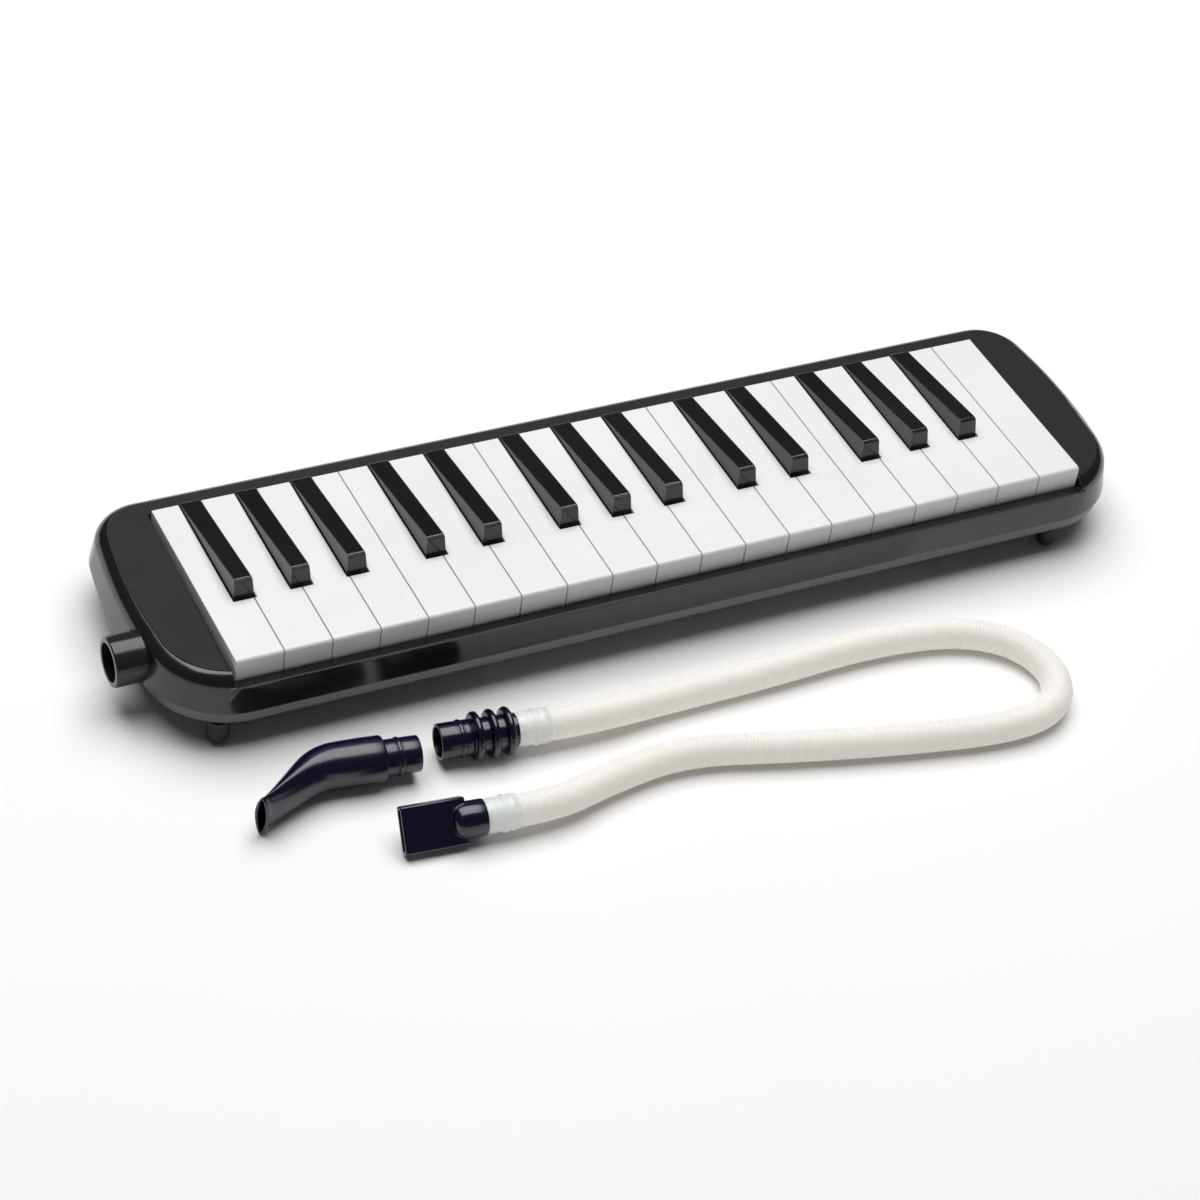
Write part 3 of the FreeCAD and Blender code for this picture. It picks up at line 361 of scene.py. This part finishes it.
MOUTHPIECE_START = (-125.2, -66.1, 10.1)
MOUTHPIECE_HEADING = 173.0
MOUTHPIECE_BEND = 36.5
MOUTHPIECE_BEAD = 9.0
BEND_END = (50.0, 7.45)     # where the straight neck starts: distance and sideways shift
MOUTHPIECE_SIDES = 56


def oval_ring(x, y, half_width, half_height, heading, power):
    """Upright oval across a path that turns in plan; a low power brings it to a diamond."""
    ring = []
    turned = math.radians(heading)
    for s in range(MOUTHPIECE_SIDES):
        angle = 2 * math.pi * s / MOUTHPIECE_SIDES
        c, d = math.cos(angle), math.sin(angle)
        across = half_width * math.copysign(abs(c) ** (2 / power), c)
        height = half_height * math.copysign(abs(d) ** (2 / power), d)
        ring.append(Vector((x - across * math.sin(turned), y + across * math.cos(turned), height)))
    return ring


def short_mouthpiece():
    """Plug with a bead, a round body, then a bend that flattens to an upright lip."""
    # The plug's profile is made with its mouth last, so it is turned end for end
    plug = [(-x, radius) for x, radius in reversed(plug_profile(0.0, -MOUTHPIECE_BEAD))]
    body = [(13.6, 7.2), (14.1, 7.3), (14.3, 8.4), (14.6, 8.9), (15.3, 9.2), (22.0, 9.25),
            (28.0, 9.2)]
    levels = [(x, 0.0, radius, radius, 0.0, 2.0) for x, radius in plug + body]
    # The bend: distance, sideways shift, half width, half height, heading and squareness
    levels += [
        (32.0, 0.05, 9.1, 9.2, 3.0, 2.0), (35.0, 0.2, 8.95, 9.2, 7.0, 2.0),
        (38.0, 0.75, 8.6, 9.2, 14.0, 2.0), (41.0, 1.8, 8.1, 9.2, 21.0, 2.0),
        (44.0, 3.3, 7.5, 9.2, 28.0, 1.95), (47.0, 5.3, 6.8, 9.2, 33.0, 1.9),
        (*BEND_END, 6.15, 9.2, 35.5, 1.85),
    ]
    # The straight neck and the flared lip, then back in along the air way: distance, half
    # width, half height and squareness
    neck = ((54.0, 5.3, 9.2, 1.8), (58.0, 4.5, 9.2, 1.75), (62.0, 3.6, 9.2, 1.7),
            (64.5, 3.05, 9.3, 1.65), (65.8, 2.95, 9.4, 1.6), (66.3, 3.25, 9.75, 1.6),
            (66.8, 3.4, 9.95, 1.6), (67.2, 3.35, 9.9, 1.6), (67.5, 3.0, 9.6, 1.6),
            (67.5, 2.4, 9.0, 1.6), (67.2, 2.0, 8.6, 1.6), (65.5, 1.85, 8.3, 1.65),
            (56.0, 3.0, 7.2, 1.8))
    slope = math.tan(math.radians(MOUTHPIECE_BEND))
    for x, wide, high, power in neck:
        shift = BEND_END[1] + (x - BEND_END[0]) * slope
        levels.append((x, shift, wide, high, MOUTHPIECE_BEND, power))
    levels += [(48.0, 6.2, 3.7, 6.6, 34.0, 1.9), (42.0, 2.4, 4.4, 6.0, 24.0, 2.0),
               (36.0, 0.3, 4.9, 5.4, 8.0, 2.0), (28.0, 0.0, 5.0, 5.0, 0.0, 2.0)]
    verts, faces = skin([oval_ring(*level) for level in levels])
    mesh = mesh_from("short_mouthpiece_skin", verts, faces)
    mesh.transform(placement(MOUTHPIECE_START, MOUTHPIECE_HEADING))
    return finish_mesh("short_mouthpiece_skin", mesh)


# ------------------------------------------------------------------ materials
def new_material(name):
    """Material with its node tree and its shader."""
    made = bpy.data.materials.new(name)
    made.use_nodes = True
    tree = made.node_tree
    shader = tree.nodes["Principled BSDF"]
    return made, tree, shader


def add(tree, kind, **settings):
    node = tree.nodes.new(kind)
    for key, value in settings.items():
        setattr(node, key, value)
    return node


def link(tree, out_socket, in_socket):
    tree.links.new(out_socket, in_socket)


def set_inputs(node, values):
    for name, value in values.items():
        node.inputs[name].default_value = value


def coordinates(tree, scale=(1.0, 1.0, 1.0)):
    """Places in the object's own metres, stretched by scale."""
    where = add(tree, "ShaderNodeTexCoord")
    mapping = add(tree, "ShaderNodeMapping")
    set_inputs(mapping, {"Scale": scale})
    link(tree, where.outputs["Object"], mapping.inputs["Vector"])
    return mapping.outputs["Vector"]


def noise(tree, vector, scale, detail=3.0, rough=0.55):
    node = add(tree, "ShaderNodeTexNoise")
    set_inputs(node, {"Scale": scale, "Detail": detail, "Roughness": rough})
    link(tree, vector, node.inputs["Vector"])
    return node.outputs["Fac"]


def spread(tree, value, low=0.0, high=1.0, start=0.3, end=0.7):
    """Map a noise value between start and end to numbers from low to high."""
    node = add(tree, "ShaderNodeMapRange")
    set_inputs(node, {"From Min": start, "From Max": end, "To Min": low, "To Max": high})
    link(tree, value, node.inputs["Value"])
    return node.outputs["Result"]


# Sockets of the Mix node when it mixes colours
MIX_FACTOR, MIX_FIRST, MIX_SECOND = 0, 6, 7
MIX_RESULT = 2


def blend_colours(tree, factor, first, second):
    """Mix of two colours, each either plain numbers or another node's output."""
    node = add(tree, "ShaderNodeMix", data_type="RGBA")
    for socket, colour in ((node.inputs[MIX_FIRST], first), (node.inputs[MIX_SECOND], second)):
        if isinstance(colour, tuple):
            socket.default_value = (*colour, 1.0)
        else:
            link(tree, colour, socket)
    link(tree, factor, node.inputs[MIX_FACTOR])
    return node.outputs[MIX_RESULT]


EDGE_SAMPLES = 6
EDGE_TURN = (0.78, 0.99)    # cosines between the two normals: a full edge, and none


def edge_mask(tree, radius):
    """A normal that rounds the edges, and 1 at an edge falling to 0 away from it."""
    bevel = add(tree, "ShaderNodeBevel", samples=EDGE_SAMPLES)
    set_inputs(bevel, {"Radius": radius})
    geometry = add(tree, "ShaderNodeNewGeometry")
    dot = add(tree, "ShaderNodeVectorMath", operation="DOT_PRODUCT")
    link(tree, bevel.outputs["Normal"], dot.inputs[0])
    link(tree, geometry.outputs["Normal"], dot.inputs[1])
    near_edge = spread(tree, dot.outputs["Value"], 1.0, 0.0, *EDGE_TURN)
    return bevel.outputs["Normal"], near_edge


def bump(tree, height, strength, distance, normal=None):
    node = add(tree, "ShaderNodeBump")
    set_inputs(node, {"Strength": strength, "Distance": distance})
    link(tree, height, node.inputs["Height"])
    if normal is not None:
        link(tree, normal, node.inputs["Normal"])
    return node.outputs["Normal"]


PATCH_SCALE = 14.0          # noise scales are roughly repeats in a metre
EDGE_WEAR_AND_HIGHLIGHT_SCALE = 90.0
EDGE_WEAR_AND_HIGHLIGHT_RANGE = (0.45, 1.0)    # weakest and strongest places of the edge wear and painted highlight along an edge
EDGE_WEAR_AND_HIGHLIGHT_NOISE = (0.35, 0.65)
SCRATCH_SCALE = (40.0, 900.0, 900.0)
SCRATCH_NOISE = (0.62, 0.80)   # only the noise's peaks are scratches
GRAIN_STRENGTH = 0.35


def plastic(name, dark, light, rough, grain_scale, grain_depth, edge_wear_and_highlight, edge=0.0004,
            scratches=0.05, ior=1.5, specular=0.5):
    """Moulded plastic: mottled colour, uneven gloss, fine grain, hair scratches, and lighter edges
    that are partly rubbed wear and partly painted highlight.
    """
    made, tree, shader = new_material(name)
    vector = coordinates(tree)
    patches = noise(tree, vector, PATCH_SCALE, detail=4.0)
    fine = noise(tree, vector, grain_scale, detail=2.0)
    hair = noise(tree, coordinates(tree, SCRATCH_SCALE), 1.0, detail=2.0, rough=0.7)
    normal, near_edge = edge_mask(tree, edge)
    # Lighter edges, partly rubbed wear and partly a painted highlight: the edge mask, broken up by
    # noise
    wear_and_highlight_mask = add(tree, "ShaderNodeMath", operation="MULTIPLY")
    link(tree, near_edge, wear_and_highlight_mask.inputs[0])
    edge_unevenness = noise(tree, vector, EDGE_WEAR_AND_HIGHLIGHT_SCALE)
    link(tree, spread(tree, edge_unevenness, *EDGE_WEAR_AND_HIGHLIGHT_RANGE, *EDGE_WEAR_AND_HIGHLIGHT_NOISE), wear_and_highlight_mask.inputs[1])
    base = blend_colours(tree, spread(tree, patches), dark, light)
    colour = blend_colours(tree, wear_and_highlight_mask.outputs[0], base, edge_wear_and_highlight)
    link(tree, colour, shader.inputs["Base Color"])
    gloss = add(tree, "ShaderNodeMath", operation="ADD")
    link(tree, spread(tree, patches, *rough), gloss.inputs[0])
    link(tree, spread(tree, hair, 0.0, scratches, *SCRATCH_NOISE), gloss.inputs[1])
    link(tree, gloss.outputs[0], shader.inputs["Roughness"])
    link(tree, bump(tree, fine, GRAIN_STRENGTH, grain_depth, normal), shader.inputs["Normal"])
    set_inputs(shader, {"IOR": ior, "Specular IOR Level": specular})
    return made


METAL_EDGE = 0.0001


def metal(name, dark, light, rough, stretch):
    """Metal with a drawn or milled grain and a little tarnish."""
    made, tree, shader = new_material(name)
    lines = noise(tree, coordinates(tree, stretch), 1.0, rough=0.7)
    tarnish = noise(tree, coordinates(tree), 160.0, detail=4.0)
    colour = blend_colours(tree, spread(tree, tarnish), dark, light)
    link(tree, colour, shader.inputs["Base Color"])
    link(tree, spread(tree, lines, *rough), shader.inputs["Roughness"])
    normal, _ = edge_mask(tree, METAL_EDGE)
    grain = bump(tree, lines, strength=0.25, distance=0.00003, normal=normal)
    link(tree, grain, shader.inputs["Normal"])
    set_inputs(shader, {"Metallic": 1.0})
    return made


def milky_hose():
    """Soft, cloudy polyethylene. A faint glow stands in for light scattered in its wall."""
    made, tree, shader = new_material("hose_milky")
    vector = coordinates(tree)
    cloud = spread(tree, noise(tree, vector, 26.0, detail=4.0))
    colour = blend_colours(tree, cloud, (0.765, 0.735, 0.692), (0.785, 0.762, 0.730))
    link(tree, colour, shader.inputs["Base Color"])
    dull = spread(tree, noise(tree, vector, 60.0), low=0.34, high=0.50)
    link(tree, dull, shader.inputs["Roughness"])
    fine = noise(tree, vector, 2600.0, detail=2.0)
    link(tree, bump(tree, fine, strength=0.3, distance=0.00003), shader.inputs["Normal"])
    set_inputs(shader, {
        "Subsurface Weight": 0.85,
        "Subsurface Radius": (1.0, 0.9, 0.8),
        "Subsurface Scale": 0.007,
        "Emission Color": (1.0, 0.92, 0.83, 1.0),
        "Emission Strength": 0.13,
        "IOR": 1.4,
    })
    return made


def clear_sleeve():
    """Clear vinyl that has gone slightly cloudy, with the same faint glow as the hose."""
    made, tree, shader = new_material("sleeve_clear")
    vector = coordinates(tree)
    cloud = noise(tree, vector, 60.0, detail=2.0)
    colour = blend_colours(tree, spread(tree, cloud), (0.87, 0.885, 0.88), (0.92, 0.93, 0.925))
    link(tree, colour, shader.inputs["Base Color"])
    link(tree, spread(tree, cloud, low=0.16, high=0.30), shader.inputs["Roughness"])
    fine = noise(tree, vector, 900.0)
    link(tree, bump(tree, fine, strength=0.25, distance=0.00005), shader.inputs["Normal"])
    set_inputs(shader, {
        "Transmission Weight": 0.45,
        "IOR": 1.45,
        "Subsurface Weight": 0.3,
        "Subsurface Scale": 0.002,
        "Emission Color": (0.96, 1.0, 0.98, 1.0),
        "Emission Strength": 0.06,
    })
    return made


def felt():
    """Matted dark fibres with a soft sheen."""
    made, tree, shader = new_material("felt_dark")
    fibres = noise(tree, coordinates(tree), 1400.0, detail=5.0, rough=0.75)
    colour = blend_colours(tree, spread(tree, fibres), (0.035, 0.035, 0.04), (0.085, 0.085, 0.095))
    link(tree, colour, shader.inputs["Base Color"])
    link(tree, spread(tree, fibres, low=0.85, high=1.0), shader.inputs["Roughness"])
    link(tree, bump(tree, fibres, strength=0.8, distance=0.0003), shader.inputs["Normal"])
    set_inputs(shader, {"Sheen Weight": 0.4})
    return made


# A plastic: dark and light colour, roughness, grain scale and depth, colour of the lighter edges
# (partly rubbed wear, partly painted highlight).
# A metal: dark and light colour, roughness, stretch of its grain.
materials = {
    # In case_gloss and key_black the lighter edge colour is mainly a painted highlight along the
    # edges.
    "case_gloss": plastic(
        "case_gloss", (0.0065, 0.0065, 0.007), (0.0095, 0.0095, 0.010), (0.11, 0.20),
        1800.0, 0.00003, (0.15, 0.15, 0.152), edge=0.0005, ior=1.60),
    "panel_matte": plastic(
        "panel_matte", (0.0045, 0.0045, 0.005), (0.0070, 0.0070, 0.0075), (0.46, 0.58),
        2600.0, 0.00010, (0.05, 0.05, 0.052), edge=0.0003, specular=0.25),
    "key_white": plastic(
        "key_white", (0.735, 0.735, 0.730), (0.765, 0.765, 0.762), (0.28, 0.38),
        1500.0, 0.00003, (0.80, 0.798, 0.79), edge=0.0006, scratches=0.08),
    "key_black": plastic(
        "key_black", (0.0045, 0.0045, 0.0045), (0.0075, 0.0075, 0.0075), (0.09, 0.17),
        1600.0, 0.00003, (0.22, 0.22, 0.22), edge=0.0006, scratches=0.08, ior=1.64),
    "rubber_black": plastic(
        "rubber_black", (0.004, 0.004, 0.004), (0.009, 0.009, 0.009), (0.50, 0.66),
        3000.0, 0.00012, (0.08, 0.08, 0.078)),
    # Paler than case_gloss: partly a duller finish, partly painted light for the floor reflected
    # in the lower band
    "lower_gloss_painted_paler": plastic(
        "lower_gloss_painted_paler", (0.028, 0.028, 0.029), (0.038, 0.038, 0.039), (0.24, 0.34),
        1800.0, 0.00003, (0.07, 0.07, 0.072), ior=1.85),
    "socket_black": plastic(
        "socket_black", (0.011, 0.011, 0.012), (0.017, 0.017, 0.018), (0.14, 0.24),
        2000.0, 0.00004, (0.06, 0.06, 0.06)),
    "mouthpiece_navy": plastic(
        "mouthpiece_navy", (0.0015, 0.0018, 0.014), (0.003, 0.0033, 0.020), (0.17, 0.27),
        2200.0, 0.00004, (0.035, 0.034, 0.06), edge=0.0003, ior=1.62),
    "chamber_plastic": plastic(
        "chamber_plastic", (0.040, 0.040, 0.042), (0.060, 0.060, 0.062), (0.45, 0.60),
        2400.0, 0.00008, (0.11, 0.11, 0.11)),
    "gasket_rubber": plastic(
        "gasket_rubber", (0.045, 0.045, 0.045), (0.07, 0.07, 0.068), (0.75, 0.90),
        2600.0, 0.00015, (0.10, 0.10, 0.10)),
    "reed_aluminium": metal(
        "reed_aluminium", (0.66, 0.67, 0.68), (0.78, 0.79, 0.80), (0.25, 0.42),
        (60.0, 2500.0, 2500.0)),
    "reed_brass": metal(
        "reed_brass", (0.66, 0.46, 0.18), (0.82, 0.64, 0.31), (0.16, 0.30),
        (2500.0, 120.0, 2500.0)),
    "steel": metal(
        "steel", (0.52, 0.52, 0.53), (0.68, 0.68, 0.69), (0.20, 0.34),
        (200.0, 3000.0, 3000.0)),
    "hose_milky": milky_hose(),
    "sleeve_clear": clear_sleeve(),
    "felt_dark": felt(),
}

# The lower case has the upper one's slot, but a duller finish and a paler colour of its own; the
# paleness is partly painted light, standing in for the bright floor that it reflects.
OWN_FINISH_AND_PAINTED_LIGHT = {"lower_case": "lower_gloss_painted_paler"}

for entry in frame["record"]["subparts"]:
    node = nodes[entry["node"]]
    finish = OWN_FINISH_AND_PAINTED_LIGHT.get(entry["node"], entry["material_slot"])
    node.data.materials.clear()
    node.data.materials.append(materials[finish])
    for face in node.data.polygons:
        face.material_index = 0


def dress(piece, body, slot, *replaced):
    """Give a piece its material, its body and the CAD nodes that it stands for."""
    piece.data.materials.append(materials[slot])
    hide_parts(*replaced)
    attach(piece, body)
    return piece


# ------------------------------------------------------------------ pieces
hose_piece, hose_line = corrugated_hose()
dress(hose_piece, "hose_set", "hose_milky", "hose")
sleeve_a = dress(sleeve("sleeve_a", 0), "hose_set", "sleeve_clear", "hose_sleeve_a")
sleeve_b = dress(sleeve("sleeve_b", -1), "hose_set", "sleeve_clear", "hose_sleeve_b")
connector_piece = dress(connector(), "hose_set", "mouthpiece_navy", "hose_connector")
flat_piece = dress(flat_mouthpiece(), "hose_set", "mouthpiece_navy", "hose_mouthpiece")
short_piece = dress(short_mouthpiece(), "short_mouthpiece", "mouthpiece_navy", "mouthpiece")


# ------------------------------------------------------------------ floor and light
FLOOR_HALF = 4.0            # metres
FLOOR_DROP = 0.0002         # keeps the floor just clear of the feet
FLOOR_TONES = ((0.895, 0.895, 0.895), (0.905, 0.905, 0.905))
BOX_PLACE = (0.1, 0.62, 2.2)
BOX_AIM = (0.05, 0.1, 0.0)
BOX_SIZE = (2.5, 2.3)
BOX_WATTS = 77.0
SKY_STRENGTH = 0.075

floor_mesh = bpy.data.meshes.new("floor")
floor_corners = [(-FLOOR_HALF, -FLOOR_HALF, 0), (FLOOR_HALF, -FLOOR_HALF, 0),
                 (FLOOR_HALF, FLOOR_HALF, 0), (-FLOOR_HALF, FLOOR_HALF, 0)]
floor_mesh.from_pydata(floor_corners, [], [(0, 1, 2, 3)])
floor = bpy.data.objects.new("floor", floor_mesh)
floor.location.z = -FLOOR_DROP
scene.collection.objects.link(floor)
floor_material, floor_tree, floor_shader = new_material("floor_pale")
floor_cloud = noise(floor_tree, coordinates(floor_tree), 3.0)
floor_colour = blend_colours(floor_tree, spread(floor_tree, floor_cloud), *FLOOR_TONES)
link(floor_tree, floor_colour, floor_shader.inputs["Base Color"])
set_inputs(floor_shader, {"Roughness": 0.9, "Specular IOR Level": 0.0})
floor.data.materials.append(floor_material)


def softbox(name, place, aim, size, power):
    """Rectangular light that faces its aim."""
    light = bpy.data.lights.new(name, "AREA")
    light.shape = "RECTANGLE"
    light.size, light.size_y = size
    light.energy = power
    lamp = bpy.data.objects.new(name, light)
    lamp.location = place
    lamp.rotation_mode = "QUATERNION"
    lamp.rotation_quaternion = (Vector(aim) - Vector(place)).to_track_quat("-Z", "Y")
    scene.collection.objects.link(lamp)


softbox("overhead", BOX_PLACE, BOX_AIM, BOX_SIZE, BOX_WATTS)

world = bpy.data.worlds.new("world")
world.use_nodes = True
set_inputs(world.node_tree.nodes["Background"],
           {"Color": (1.0, 1.0, 1.0, 1.0), "Strength": SKY_STRENGTH})
scene.world = world
scene.view_settings.view_transform = "Standard"
